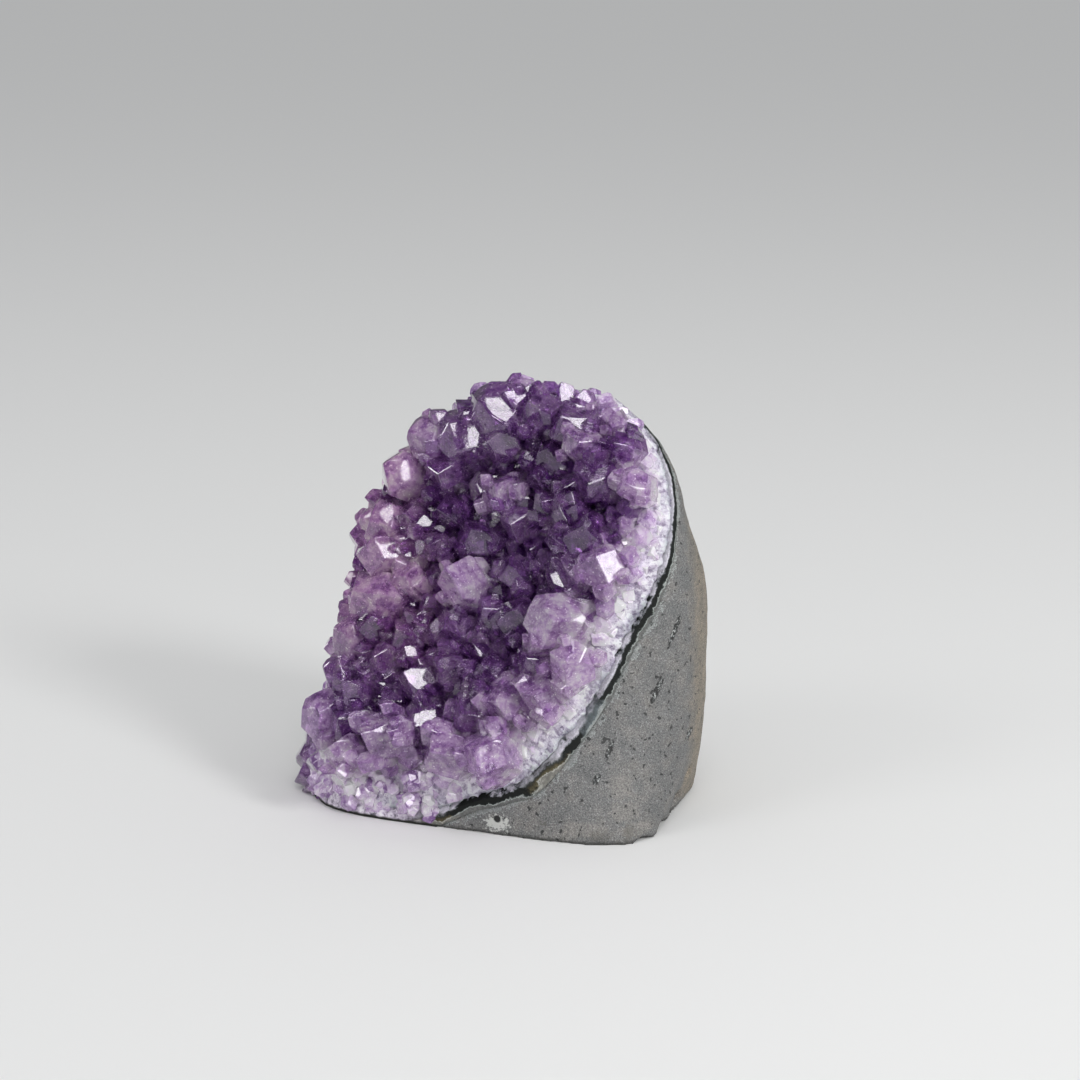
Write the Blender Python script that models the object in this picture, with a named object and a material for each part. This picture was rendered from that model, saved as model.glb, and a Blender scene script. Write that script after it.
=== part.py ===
"""Amethyst geode: a free-standing piece of geode wall with a sawn flat base.

A ground lump of basalt carries a thin dark lining, a bed of milky quartz and a druse of amethyst
crystals on its open face, which looks to the front left and leans back. Lengths are in metres,
+Z is up, +Y is away, and the origin lies on the sawn base.
"""

import math
from random import Random

import bmesh
import bpy
import numpy as np
from mathutils import Matrix, Vector

MM = 0.001

# ---------------------------------------------------------------- driving dimensions (mm)
GAP = 0.3  # room left between two pieces that touch
TURN = math.radians(27.0)  # the open face looks this far to the left of the front
LEAN = math.radians(24.0)  # and this far up from level

# The ground outer form, from the sawn base up. Each station is a level outline, a rounded oval in
# axes turned with the face: height, middle across and back, reach to the right, left, front and
# back, squareness of the front right corner, of the front left corner and of the back.
STATIONS = (
    (0.0, 0.0, 8.0, 42.2, 42.5, 29.5, 32.0, 4.2, 4.6, 2.6),
    (12.0, 0.0, 9.0, 42.6, 44.5, 28.0, 32.0, 3.0, 4.4, 2.6),
    (24.0, 0.5, 10.0, 43.0, 44.0, 26.5, 31.0, 2.3, 4.2, 2.6),
    (36.0, 1.0, 11.0, 42.5, 43.0, 24.5, 29.0, 2.0, 4.0, 2.6),
    (55.0, 2.0, 12.0, 41.2, 41.0, 20.0, 25.0, 2.1, 3.6, 2.4),
    (69.0, 3.0, 10.5, 37.4, 37.5, 15.0, 21.0, 2.2, 3.2, 2.1),
    (81.0, 2.0, 14.0, 33.4, 29.0, 11.5, 16.0, 2.2, 2.6, 2.0),
    (90.0, 2.0, 16.0, 24.2, 18.5, 9.5, 9.5, 2.0, 2.4, 2.0),
    (95.0, 1.0, 17.0, 13.0, 9.5, 5.5, 4.5, 2.0, 2.0, 2.0),
    (96.0, 1.0, 17.0, 3.0, 3.0, 2.0, 2.0, 2.0, 2.0, 2.0),
)
FRONT_SLANT = 0.12  # the foot's front edge swings back to the right; this fades up the piece
SLANT_TOP = 40.0
RINGS = 22
RING_POINTS = 48
CHIP_POINT = (37.0, -17.0, 0.0)  # a flat chip off the foot's right edge
CHIP_NORMAL = (0.946, -0.32, -0.25)

# The open face: the foot of its rim, the middle of the dish, its half width and height, its depth.
FOOT_BACK = -20.6
DISH_MIDDLE = (-3.5, 50.0)
DISH_HALF_LEFT = 58.0
DISH_HALF_RIGHT = 36.0
DISH_HALF_UP = 54.0
DISH_LEAN = 0.18  # how far the dish moves to the right for each millimetre up
DISH_DEPTH = 7.0
LEFT_EDGE = -30.0
LEFT_CURL = 0.05  # how sharply the wall turns back past its left edge
LINING_THICKNESS = 1.7
QUARTZ_THICKNESS = 6.6
WALL_ACROSS = (-66.0, 66.0, 24)
WALL_UP = (-34.0, 128.0, 28)
WALL_BEHIND = 90.0
WALL_WAVE = 0.7

# The crystals: where the tip stands across and up on the face, radius, length clear of the
# quartz, tilt across and up (degrees). These lead the druse; the rest are sown between them.
LEADERS = (
    (-7.0, 56.5, 5.8, 14.0, -4, 12),
    (21.0, 48.5, 5.8, 11.0, 10, 0),
    (17.0, 74.0, 4.6, 11.0, -4, 6),
    (-1.0, 77.5, 5.0, 10.0, 10, 10),
    (5.0, 69.0, 5.0, 10.0, 8, -6),
    (-18.5, 17.0, 5.2, 14.0, -4, -2),
    (-27.0, 12.5, 4.2, 11.0, -8, 4),
    (-5.0, 95.0, 4.8, 12.0, -12, 10),
    (6.0, 96.0, 4.6, 11.0, 8, 6),
    (33.0, 81.0, 4.4, 8.0, 8, 0),
    (27.5, 39.0, 4.4, 8.5, 14, -2),
    (-13.0, 90.0, 4.4, 11.0, -16, 10),
    (-23.0, 86.0, 4.4, 11.0, -26, 14),
    (-29.0, 78.0, 4.4, 10.5, -28, 8),
    (-31.0, 66.0, 4.0, 9.5, -26, 0),
    (-33.0, 57.5, 4.2, 10.0, -26, -6),
    (-34.5, 49.0, 5.0, 11.0, -22, 4),
    (-36.5, 39.5, 4.2, 10.0, -26, -4),
    (-38.5, 30.0, 4.4, 10.0, -24, 0),
    (-40.5, 17.5, 5.4, 10.0, -28, -2),
    (-28.5, 28.0, 4.6, 11.0, -10, 8),
    (-6.0, 35.0, 5.0, 11.0, 2, -6),
    (10.0, 29.5, 5.4, 10.0, 8, -8),
    (28.5, 63.0, 4.6, 9.0, 2, 4),
    (20.0, 89.0, 4.6, 9.5, 6, 6),
    (28.0, 89.0, 4.0, 7.5, 6, 4),
)
CRYSTALS = 56
SOWN_RADIUS = (3.4, 5.0)
SOWN_ATTEMPTS = 9000
CROWDING = 0.84  # closest spacing of two crystals over the sum of their radii
TIP_STEEPNESS = 1.1  # height of a quartz point over its radius
DRUSE_MIDDLE = (-2.5, 55.0)
DRUSE_HALF = (29.0, 42.0)
DRUSE_LEAN = 0.2
SEED = 21

ACROSS = Vector((math.cos(TURN), -math.sin(TURN), 0.0))
BACK = Vector((math.sin(TURN), math.cos(TURN), 0.0))
NORMAL = -BACK * math.cos(LEAN) + Vector((0.0, 0.0, math.sin(LEAN)))
UP = BACK * math.sin(LEAN) + Vector((0.0, 0.0, math.cos(LEAN)))
FOOT = BACK * FOOT_BACK


# ---------------------------------------------------------------- helpers
def clear_scene():
    for thing in list(bpy.data.objects):
        bpy.data.objects.remove(thing, do_unlink=True)


def stone(name, color, roughness, transmission=0.0, ior=1.54, bump=None):
    material = bpy.data.materials.new(name)
    material.use_nodes = True
    shader = material.node_tree.nodes["Principled BSDF"]
    shader.inputs["Base Color"].default_value = (*color, 1.0)
    shader.inputs["Roughness"].default_value = roughness
    shader.inputs["Transmission Weight"].default_value = transmission
    shader.inputs["IOR"].default_value = ior
    material.diffuse_color = (*color, 1.0)
    if bump:
        add_grain(material, shader, *bump)
    return material


def add_grain(material, shader, scale, strength, dark):
    nodes = material.node_tree.nodes
    links = material.node_tree.links
    coords = nodes.new("ShaderNodeTexCoord")
    noise = nodes.new("ShaderNodeTexNoise")
    noise.inputs["Scale"].default_value = scale
    noise.inputs["Detail"].default_value = 6.0
    links.new(coords.outputs["Object"], noise.inputs["Vector"])
    ramp = nodes.new("ShaderNodeValToRGB")
    color = shader.inputs["Base Color"].default_value[:3]
    ramp.color_ramp.elements[0].position = 0.35
    ramp.color_ramp.elements[0].color = (*(dark * channel for channel in color), 1.0)
    ramp.color_ramp.elements[1].position = 0.65
    ramp.color_ramp.elements[1].color = (*color, 1.0)
    links.new(noise.outputs["Fac"], ramp.inputs["Fac"])
    links.new(ramp.outputs["Color"], shader.inputs["Base Color"])
    bump = nodes.new("ShaderNodeBump")
    bump.inputs["Strength"].default_value = strength
    bump.inputs["Distance"].default_value = 0.0004
    links.new(noise.outputs["Fac"], bump.inputs["Height"])
    links.new(bump.outputs["Normal"], shader.inputs["Normal"])


def object_from(bm, name, material):
    mesh = bpy.data.meshes.new(name)
    bm.to_mesh(mesh)
    bm.free()
    made = bpy.data.objects.new(name, mesh)
    bpy.context.scene.collection.objects.link(made)
    if material:
        mesh.materials.append(material)
    return made


def as_cutter(made):
    made.hide_render = True
    made.display_type = "WIRE"
    return made


def keep_inside(piece, cutter):
    boolean = piece.modifiers.new("inside_ground_form", "BOOLEAN")
    boolean.operation = "INTERSECT"
    boolean.solver = "EXACT"
    boolean.object = cutter


def bridge_rings(bm, rings):
    count = len(rings[0])
    for lower, upper in zip(rings, rings[1:]):
        for i in range(count):
            j = (i + 1) % count
            bm.faces.new((lower[i], lower[j], upper[j], upper[i]))


def skin_rows(bm, rows):
    """Triangles over a grid, split the same way each time, so that two grids stay parallel."""
    for lower, upper in zip(rows, rows[1:]):
        for i in range(len(lower) - 1):
            bm.faces.new((lower[i], lower[i + 1], upper[i + 1]))
            bm.faces.new((lower[i], upper[i + 1], upper[i]))


# ---------------------------------------------------------------- the ground outer form
def station_at(height):
    """The station's numbers at any height, by a smooth curve through the given ones."""
    table = np.array(STATIONS)
    known = table[:, 0]
    slopes = np.gradient(table[:, 1:], known, axis=0)
    i = int(np.clip(np.searchsorted(known, height, side="right") - 1, 0, len(known) - 2))
    span = known[i + 1] - known[i]
    t = (height - known[i]) / span
    start = (1 + 2 * t) * (1 - t) ** 2 * table[i, 1:] + t * (1 - t) ** 2 * span * slopes[i]
    end = t * t * (3 - 2 * t) * table[i + 1, 1:] + t * t * (t - 1) * span * slopes[i + 1]
    return start + end


def outline_point(numbers, front_slant, angle):
    """The point of a station's outline in one direction, as millimetres across and back."""
    middle, depth, right, left, front, back, right_power, left_power, back_power = numbers
    cosine, sine = math.cos(angle), math.sin(angle)
    front_power = right_power if cosine > 0 else left_power
    power = 2.0 / (back_power if sine > 0 else front_power)
    reach = right if cosine > 0 else left
    deep = back if sine > 0 else front
    across = middle + math.copysign(abs(cosine) ** power, cosine) * reach
    slant = front_slant * across * max(0.0, -sine)
    return across, depth + math.copysign(abs(sine) ** power, sine) * deep + slant


def level_heights():
    top = STATIONS[-1][0]
    turns = np.linspace(0.0, math.pi / 2, RINGS)
    return top * (0.45 * np.linspace(0.0, 1.0, RINGS) + 0.55 * np.sin(turns))


def build_ground_form():
    bm = bmesh.new()
    rings = []
    for height in level_heights():
        numbers = station_at(height)
        slant = FRONT_SLANT * max(0.0, 1.0 - height / SLANT_TOP)
        ring = []
        for k in range(RING_POINTS):
            across, back = outline_point(numbers, slant, math.tau * k / RING_POINTS)
            point = ACROSS * across + BACK * back + Vector((0.0, 0.0, height))
            ring.append(bm.verts.new(point * MM))
        rings.append(ring)
    bridge_rings(bm, rings)
    bm.faces.new(rings[0][::-1])
    bm.faces.new(rings[-1])
    cut_flat(bm, Vector(CHIP_POINT) * MM, Vector(CHIP_NORMAL).normalized())
    return as_cutter(object_from(bm, "ground_form", None))


def cut_flat(bm, point, normal):
    """Cuts a closed solid by a plane and closes it again, keeping the side behind the normal."""
    everything = bm.verts[:] + bm.edges[:] + bm.faces[:]
    cut = bmesh.ops.bisect_plane(
        bm, geom=everything, dist=1e-7, plane_co=point, plane_no=normal, clear_outer=True
    )
    rim = [item for item in cut["geom_cut"] if isinstance(item, bmesh.types.BMEdge)]
    if rim:
        bmesh.ops.contextual_create(bm, geom=rim)


# ---------------------------------------------------------------- the layers of the wall
def wall_height(across, up):
    """How far the rock's own surface lies in front of the rim plane, over the open face."""
    aside = across - DISH_MIDDLE[0] - DISH_LEAN * (up - DISH_MIDDLE[1])
    half = DISH_HALF_RIGHT if aside > 0.0 else DISH_HALF_LEFT
    r = math.hypot(aside / half, (up - DISH_MIDDLE[1]) / DISH_HALF_UP)
    height = -DISH_DEPTH * (1.0 - r * r) if r < 1.0 else 5.0 * (r - 1.0)
    height += 0.0035 * max(0.0, 25.0 - max(0.0, up)) ** 2
    return height - LEFT_CURL * max(0.0, LEFT_EDGE - across) ** 2


def wall_wave(across, up):
    return WALL_WAVE * math.sin(across / 4.9 + math.sin(up / 7.0)) * math.sin(up / 5.6 + 0.8)


def wall_point(across, up, above):
    return (FOOT + ACROSS * across + UP * up + NORMAL * above) * MM


def wall_grid(bm, offset, wave):
    rows = []
    for up in np.linspace(WALL_UP[0], WALL_UP[1], WALL_UP[2] + 1):
        row = []
        for across in np.linspace(WALL_ACROSS[0], WALL_ACROSS[1], WALL_ACROSS[2] + 1):
            above = wall_height(across, up) + offset + wave * wall_wave(across, up)
            row.append(bm.verts.new(wall_point(across, up, above)))
        rows.append(row)
    return rows


def build_layer(name, bottom, top, waves, material, ground_form):
    """A slab between two surfaces that follow the wall, kept inside the ground form."""
    bm = bmesh.new()
    if bottom is None:
        bottom_rows = wall_grid_flat(bm)
    else:
        bottom_rows = wall_grid(bm, bottom + GAP / 2, waves[0])
    top_rows = wall_grid(bm, top - GAP / 2, waves[1])
    skin_rows(bm, top_rows)
    skin_rows(bm, bottom_rows)
    bridge_rings(bm, [border_of(bottom_rows), border_of(top_rows)])
    bmesh.ops.recalc_face_normals(bm, faces=bm.faces[:])
    layer = object_from(bm, name, material)
    keep_inside(layer, ground_form)
    return layer


def wall_grid_flat(bm):
    rows = []
    for up in np.linspace(WALL_UP[0], WALL_UP[1], WALL_UP[2] + 1):
        row = []
        for across in np.linspace(WALL_ACROSS[0], WALL_ACROSS[1], WALL_ACROSS[2] + 1):
            row.append(bm.verts.new(wall_point(across, up, -WALL_BEHIND)))
        rows.append(row)
    return rows


def border_of(rows):
    first = list(rows[0])
    right = [row[-1] for row in rows[1:-1]]
    last = list(reversed(rows[-1]))
    left = [row[0] for row in reversed(rows[1:-1])]
    return first + right + last + left


# ---------------------------------------------------------------- the crystals
def sow_crystals():
    """The leading crystals, then seeded ones wherever the face still has room."""
    random = Random(SEED)
    crystals = list(LEADERS)
    for attempt in range(SOWN_ATTEMPTS):
        if len(crystals) == CRYSTALS:
            break
        up = DRUSE_MIDDLE[1] + DRUSE_HALF[1] * random.uniform(-1.0, 1.0)
        across = druse_middle(up) + DRUSE_HALF[0] * random.uniform(-1.0, 1.0)
        low, high = SOWN_RADIUS
        radius = high - (high - low) * min(1.0, 1.6 * attempt / SOWN_ATTEMPTS)
        length = radius * random.uniform(1.6, 2.4)
        tilts = random.gauss(0.0, 12.0), random.gauss(0.0, 12.0)
        room = min(
            math.hypot(across - other[0], up - other[1]) - CROWDING * (radius + other[2])
            for other in crystals
        )
        if room > 0.0 and in_druse(across, up):
            crystals.append((across, up, radius, length, *tilts))
    return crystals


def druse_middle(up):
    return DRUSE_MIDDLE[0] + DRUSE_LEAN * (up - DRUSE_MIDDLE[1])


def in_druse(across, up):
    """Whether a crystal there stands clear of the ground rim."""
    share = abs(up - DRUSE_MIDDLE[1]) / DRUSE_HALF[1]
    half = DRUSE_HALF[0] * (1.0 - share**3) ** (1.0 / 3.0)
    return abs(across - druse_middle(up)) < half


def floor_normal(across, up):
    step = 0.5
    slope_across = wall_height(across + step, up) - wall_height(across - step, up)
    slope_up = wall_height(across, up + step) - wall_height(across, up - step)
    return (NORMAL - ACROSS * slope_across - UP * slope_up).normalized()


def crystal_frame(crystal):
    """The middle of a crystal's root, the way the bed faces there, and the crystal's own axis."""
    across, up, _, length, tilt_across, tilt_up = crystal
    axis = floor_normal(across, up) + ACROSS * math.tan(math.radians(tilt_across))
    axis = (axis + UP * math.tan(math.radians(tilt_up))).normalized()
    across -= length * axis.dot(ACROSS)
    up -= length * axis.dot(UP)
    above = wall_height(across, up) + LINING_THICKNESS + QUARTZ_THICKNESS
    return wall_point(across, up, above), floor_normal(across, up), axis


def neighbour_plane(one, other, frame, other_frame):
    """The plane where two neighbouring crystals meet: its point and its normal, outward from one."""
    base, _, axis = frame
    other_base, _, other_axis = other_frame
    middle_axis = (axis + other_axis).normalized()
    between = other_base - base
    between -= middle_axis * between.dot(middle_axis)
    share = one[2] / (one[2] + other[2])
    normal = between.normalized()
    lean = (other_axis - axis).dot(normal) * (0.5 - share)
    point = base + between * share - normal * (GAP / 2 * MM)
    return point, (normal - middle_axis * lean).normalized()


def build_crystal(index, crystals, frames, material):
    """One hexagonal column with a six-sided point, cut flat where it meets the bed or a neighbour."""
    random = Random(SEED * 1000 + index)
    crystal = crystals[index]
    _, _, radius, length, _, _ = crystal
    base, floor, axis = frames[index]
    radius *= MM
    length *= MM
    turn = axis.to_track_quat("Z", "Y").to_matrix().to_4x4()
    spin = Matrix.Rotation(random.uniform(0.0, math.tau), 4, "Z")
    bm = bmesh.new()
    bmesh.ops.create_cone(
        bm,
        cap_ends=True,
        segments=6,
        radius1=radius,
        radius2=radius,
        depth=4.0 * length,
        matrix=Matrix.Translation(base) @ turn @ spin,
    )
    tip = base + axis * length
    pitch = math.atan(1.0 / TIP_STEEPNESS * math.cos(math.pi / 6))
    for side in range(6):
        angle = math.pi / 6 + side * math.pi / 3
        outward = (turn @ spin).to_3x3() @ Vector((math.cos(angle), math.sin(angle), 0.0))
        normal = outward * math.cos(pitch) + axis * math.sin(pitch)
        slack = radius * (random.uniform(0.0, 0.1) if side % 2 else random.uniform(0.1, 0.4))
        cut_flat(bm, tip + normal * slack, normal)
    root = base + floor * (GAP / 2 + 0.1 + (radius / MM) ** 2 / 180.0) * MM
    cut_flat(bm, root, -floor)
    for other_index, other in enumerate(crystals):
        if other_index == index:
            continue
        if (frames[other_index][0] - base).length > 30.0 * MM:
            continue
        point, normal = neighbour_plane(
            crystal, other, frames[index], frames[other_index]
        )
        cut_flat(bm, point, normal)
    bmesh.ops.remove_doubles(bm, verts=bm.verts[:], dist=0.04 * MM)
    bmesh.ops.triangulate(bm, faces=[face for face in bm.faces if len(face.verts) > 4])
    bmesh.ops.recalc_face_normals(bm, faces=bm.faces[:])
    return object_from(bm, f"amethyst_crystal_{index + 1:02d}", material)


# ---------------------------------------------------------------- the whole piece
def build_geode():
    basalt = stone("basalt", (0.17, 0.17, 0.165), 0.75, bump=(900.0, 0.5, 0.6))
    celadonite = stone("celadonite", (0.035, 0.045, 0.042), 0.45)
    quartz = stone("milky_quartz", (0.78, 0.72, 0.84), 0.35, bump=(420.0, 0.4, 0.75))
    amethyst = stone("amethyst", (0.33, 0.16, 0.52), 0.08, transmission=0.35)
    ground_form = build_ground_form()
    lining_top = LINING_THICKNESS
    quartz_top = lining_top + QUARTZ_THICKNESS
    build_layer("basalt_matrix", None, 0.0, (0.0, 1.0), basalt, ground_form)
    build_layer("celadonite_band", 0.0, lining_top, (1.0, 0.6), celadonite, ground_form)
    build_layer("quartz_bed", lining_top, quartz_top, (0.6, 0.0), quartz, ground_form)
    crystals = sow_crystals()
    frames = [crystal_frame(crystal) for crystal in crystals]
    for index in range(len(crystals)):
        build_crystal(index, crystals, frames, amethyst)


clear_scene()
build_geode()
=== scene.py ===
import math
from random import Random

import bpy
import numpy as np
from mathutils import Matrix, Vector
from mathutils.bvhtree import BVHTree
from mathutils.kdtree import KDTree


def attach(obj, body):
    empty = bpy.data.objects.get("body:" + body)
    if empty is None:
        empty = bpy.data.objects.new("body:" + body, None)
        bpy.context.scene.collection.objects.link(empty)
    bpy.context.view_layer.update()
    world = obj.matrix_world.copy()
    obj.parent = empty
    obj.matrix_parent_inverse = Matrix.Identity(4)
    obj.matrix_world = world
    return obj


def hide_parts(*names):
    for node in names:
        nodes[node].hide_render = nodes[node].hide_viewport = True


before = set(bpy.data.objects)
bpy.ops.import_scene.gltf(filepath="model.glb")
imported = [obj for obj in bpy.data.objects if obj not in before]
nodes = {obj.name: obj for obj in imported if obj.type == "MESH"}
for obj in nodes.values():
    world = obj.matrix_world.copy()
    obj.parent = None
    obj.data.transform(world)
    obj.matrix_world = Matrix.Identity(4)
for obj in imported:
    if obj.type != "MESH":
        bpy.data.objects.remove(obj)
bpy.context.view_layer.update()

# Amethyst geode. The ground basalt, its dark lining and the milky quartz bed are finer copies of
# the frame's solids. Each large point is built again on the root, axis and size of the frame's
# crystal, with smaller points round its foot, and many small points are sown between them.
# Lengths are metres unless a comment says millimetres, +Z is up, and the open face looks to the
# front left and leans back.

MM = 0.001
TURN = math.radians(27.0)  # the open face looks this far to the left of the front
LEAN = math.radians(24.0)  # and this far up from level
ACROSS = Vector((math.cos(TURN), -math.sin(TURN), 0.0))
BACK = Vector((math.sin(TURN), math.cos(TURN), 0.0))
OUTWARD = -BACK * math.cos(LEAN) + Vector((0.0, 0.0, math.sin(LEAN)))
UPWARD = BACK * math.sin(LEAN) + Vector((0.0, 0.0, math.cos(LEAN)))  # up along the open face
FACE_FOOT = BACK * (-20.6 * MM)  # where the middle of the open face meets the shelf
STONE_HEIGHT = 98.0 * MM


# ======== mesh helpers
def deselect_all():
    bpy.ops.object.select_all(action="DESELECT")


def make_active(piece):
    deselect_all()
    piece.select_set(True)
    bpy.context.view_layer.objects.active = piece


def copy_of_node(node, name):
    """A merged copy of a frame solid, with its own mesh."""
    piece = nodes[node].copy()
    piece.data = nodes[node].data.copy()
    piece.parent = None
    for key in list(piece.keys()):
        del piece[key]
    piece.name = name
    piece.data.name = name
    bpy.context.scene.collection.objects.link(piece)
    piece.data.materials.clear()
    make_active(piece)
    bpy.ops.object.mode_set(mode="EDIT")
    bpy.ops.mesh.select_all(action="SELECT")
    bpy.ops.mesh.remove_doubles(threshold=0.01 * MM)
    bpy.ops.object.mode_set(mode="OBJECT")
    return piece


def apply_modifier(piece, kind, **settings):
    make_active(piece)
    modifier = piece.modifiers.new(kind.lower(), kind)
    for key, value in settings.items():
        setattr(modifier, key, value)
    bpy.ops.object.modifier_apply(modifier=modifier.name)


def shift_faces(piece, test, offset):
    """Moves the faces that pass the test, as a selection is moved in edit mode."""
    make_active(piece)
    mesh = piece.data
    for element in (mesh.vertices, mesh.edges, mesh.polygons):
        element.foreach_set("select", [False] * len(element))
    for face in mesh.polygons:
        face.select = test(face)
    bpy.ops.object.mode_set(mode="EDIT")
    bpy.ops.mesh.select_mode(type="FACE")
    bpy.ops.transform.translate(value=offset)
    bpy.ops.object.mode_set(mode="OBJECT")


VOXEL = 0.6 * MM  # how fine the rock's and the bed's meshes are


def refine(piece, rounds):
    """Turns a solid into an even, fine mesh with soft edges."""
    apply_modifier(piece, "REMESH", mode="VOXEL", voxel_size=VOXEL)
    apply_modifier(piece, "SMOOTH", factor=0.5, iterations=rounds)


def roughen(piece, name, kind, size, strength, middle, depth=3):
    """Pushes a surface in and out by a noise, with its size and strength in millimetres."""
    texture = bpy.data.textures.new(name, kind)
    texture.noise_scale = size * MM
    if kind == "CLOUDS":
        texture.noise_depth = depth
    apply_modifier(
        piece, "DISPLACE", texture=texture, strength=strength * MM,
        mid_level=middle, texture_coords="GLOBAL",
    )


def set_attribute(mesh, name, values):
    attribute = mesh.attributes.get(name) or mesh.attributes.new(name, "FLOAT", "POINT")
    attribute.data.foreach_set("value", np.asarray(values, np.float32))


def vertex_array(mesh):
    points = np.empty(len(mesh.vertices) * 3, np.float32)
    mesh.vertices.foreach_get("co", points)
    return points.reshape(-1, 3)


def finish_piece(piece, slot, *replaced):
    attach(piece, "root")
    if replaced:
        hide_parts(*replaced)


def smooth_step(low, high, value):
    share = min(1.0, max(0.0, (value - low) / (high - low)))
    return share * share * (3.0 - 2.0 * share)


# ======== shader helpers
def new_material(name):
    material = bpy.data.materials.new(name)
    material.use_nodes = True
    tree = material.node_tree
    return material, tree, tree.nodes["Principled BSDF"]


def add_node(tree, kind, inputs=None, **settings):
    node = tree.nodes.new(kind)
    for key, value in settings.items():
        setattr(node, key, value)
    for key, value in (inputs or {}).items():
        if isinstance(value, bpy.types.NodeSocket):
            tree.links.new(value, node.inputs[key])
        else:
            node.inputs[key].default_value = value
    return node


def math_node(tree, operation, a, b=0.0, c=0.0, clamp=False):
    inputs = {0: a, 1: b, 2: c}
    return add_node(tree, "ShaderNodeMath", inputs, operation=operation, use_clamp=clamp).outputs[0]


def mix_color(tree, factor, a, b, blend="MIX"):
    inputs = {0: factor, 6: a, 7: b}
    return add_node(tree, "ShaderNodeMix", inputs, data_type="RGBA", blend_type=blend).outputs[2]


def paint(tree, color, mask, strength, pigment):
    """Lays a pigment over a colour where the mask lets it."""
    return mix_color(tree, math_node(tree, "MULTIPLY", mask, strength), color, (*pigment, 1.0))


def ramp_node(tree, factor, stops):
    node = tree.nodes.new("ShaderNodeValToRGB")
    elements = node.color_ramp.elements
    while len(elements) < len(stops):
        elements.new(0.5)
    for element, (position, color) in zip(elements, stops):
        element.position = position
        element.color = (*color, 1.0)
    tree.links.new(factor, node.inputs["Fac"])
    return node.outputs["Color"]


def gray(value):
    return (value, value, value)


def noise_node(tree, vector, scale, detail, roughness, distortion=0.0):
    inputs = {"Vector": vector, "Scale": scale, "Detail": detail, "Roughness": roughness}
    inputs["Distortion"] = distortion
    return add_node(tree, "ShaderNodeTexNoise", inputs).outputs["Fac"]


def mosaic_node(tree, vector, scale):
    """A random value for each grain of a mosaic."""
    inputs = {"Vector": vector, "Scale": scale, "Randomness": 1.0}
    cells = add_node(tree, "ShaderNodeTexVoronoi", inputs).outputs["Color"]
    return add_node(tree, "ShaderNodeSeparateColor", {0: cells}).outputs[0]


def attribute_node(tree, name):
    return add_node(tree, "ShaderNodeAttribute", attribute_name=name).outputs["Fac"]


def object_coords(tree):
    return add_node(tree, "ShaderNodeTexCoord").outputs["Object"]


def bump_node(tree, height, strength, distance):
    inputs = {"Height": height, "Strength": strength, "Distance": distance}
    return add_node(tree, "ShaderNodeBump", inputs).outputs["Normal"]


def height_coord(tree):
    return add_node(tree, "ShaderNodeSeparateXYZ", {0: object_coords(tree)}).outputs["Z"]


def distance_along(tree, direction):
    inputs = {0: object_coords(tree), 1: tuple(direction)}
    return add_node(tree, "ShaderNodeVectorMath", inputs, operation="DOT_PRODUCT").outputs["Value"]


def past(tree, distance, start, fade, clamp=False):
    """0 at a start and 1 a fade further on, both in millimetres; a negative fade runs back."""
    return math_node(tree, "MULTIPLY_ADD", distance, 1.0 / (fade * MM), -start / fade, clamp)


def swing(tree, noise, amount, base, clamp=False):
    """A base value that a noise moves up and down."""
    around = math_node(tree, "SUBTRACT", noise, 0.5)
    return math_node(tree, "MULTIPLY_ADD", around, amount, base, clamp)


def stretched(tree, vector, turn, scale):
    """Coordinates that stretch what they hold, turned about the line of sight."""
    inputs = {"Vector": vector, "Rotation": (0.0, turn, 0.0), "Scale": scale}
    return add_node(tree, "ShaderNodeMapping", inputs, vector_type="TEXTURE").outputs["Vector"]


def new_group(name, inputs, outputs):
    """A node group that takes coordinates and numbers and puts out numbers."""
    group = bpy.data.node_groups.new(name, "ShaderNodeTree")
    group.interface.new_socket("Coords", in_out="INPUT", socket_type="NodeSocketVector")
    for socket in inputs:
        group.interface.new_socket(socket, in_out="INPUT", socket_type="NodeSocketFloat")
    for socket in outputs:
        group.interface.new_socket(socket, in_out="OUTPUT", socket_type="NodeSocketFloat")
    inner = group.nodes.new("NodeGroupInput").outputs
    outer = group.nodes.new("NodeGroupOutput").inputs
    return group, inner, outer


# ======== stone materials
def stone_grain_group():
    """Grain that every ground stone shares: fine speckle, soft blotches and a ragged edge."""
    group, inner, outer = new_group(
        "stone_grain", ["Grain scale"], ["Speckle", "Blotch", "Ragged"]
    )
    coords, scale = inner["Coords"], inner["Grain scale"]
    blotch_scale = math_node(group, "MULTIPLY", scale, 0.07)
    ragged_scale = math_node(group, "MULTIPLY", scale, 0.42)
    group.links.new(noise_node(group, coords, scale, 6.0, 0.72), outer["Speckle"])
    group.links.new(noise_node(group, coords, blotch_scale, 5.0, 0.6), outer["Blotch"])
    group.links.new(noise_node(group, coords, ragged_scale, 6.0, 0.65), outer["Ragged"])
    return group


def grain_nodes(tree, group, scale):
    inputs = {"Coords": object_coords(tree), "Grain scale": scale}
    outputs = add_node(tree, "ShaderNodeGroup", inputs, node_tree=group).outputs
    return outputs["Speckle"], outputs["Blotch"], outputs["Ragged"]


def spot_mask(tree, center, reach, turn, ragged, rag=0.9):
    """1 inside a ragged oval patch at a place given in millimetres, 0 outside."""
    inputs = {0: object_coords(tree), 1: tuple(c * MM for c in center)}
    offset = add_node(tree, "ShaderNodeVectorMath", inputs, operation="SUBTRACT")
    oval = stretched(tree, offset.outputs["Vector"], turn, tuple(r * MM for r in reach))
    length = add_node(tree, "ShaderNodeVectorMath", {0: oval}, operation="LENGTH").outputs["Value"]
    worn = swing(tree, ragged, rag * 2.0, length)
    return math_node(tree, "MULTIPLY_ADD", worn, -3.0, 3.3, clamp=True)


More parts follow.
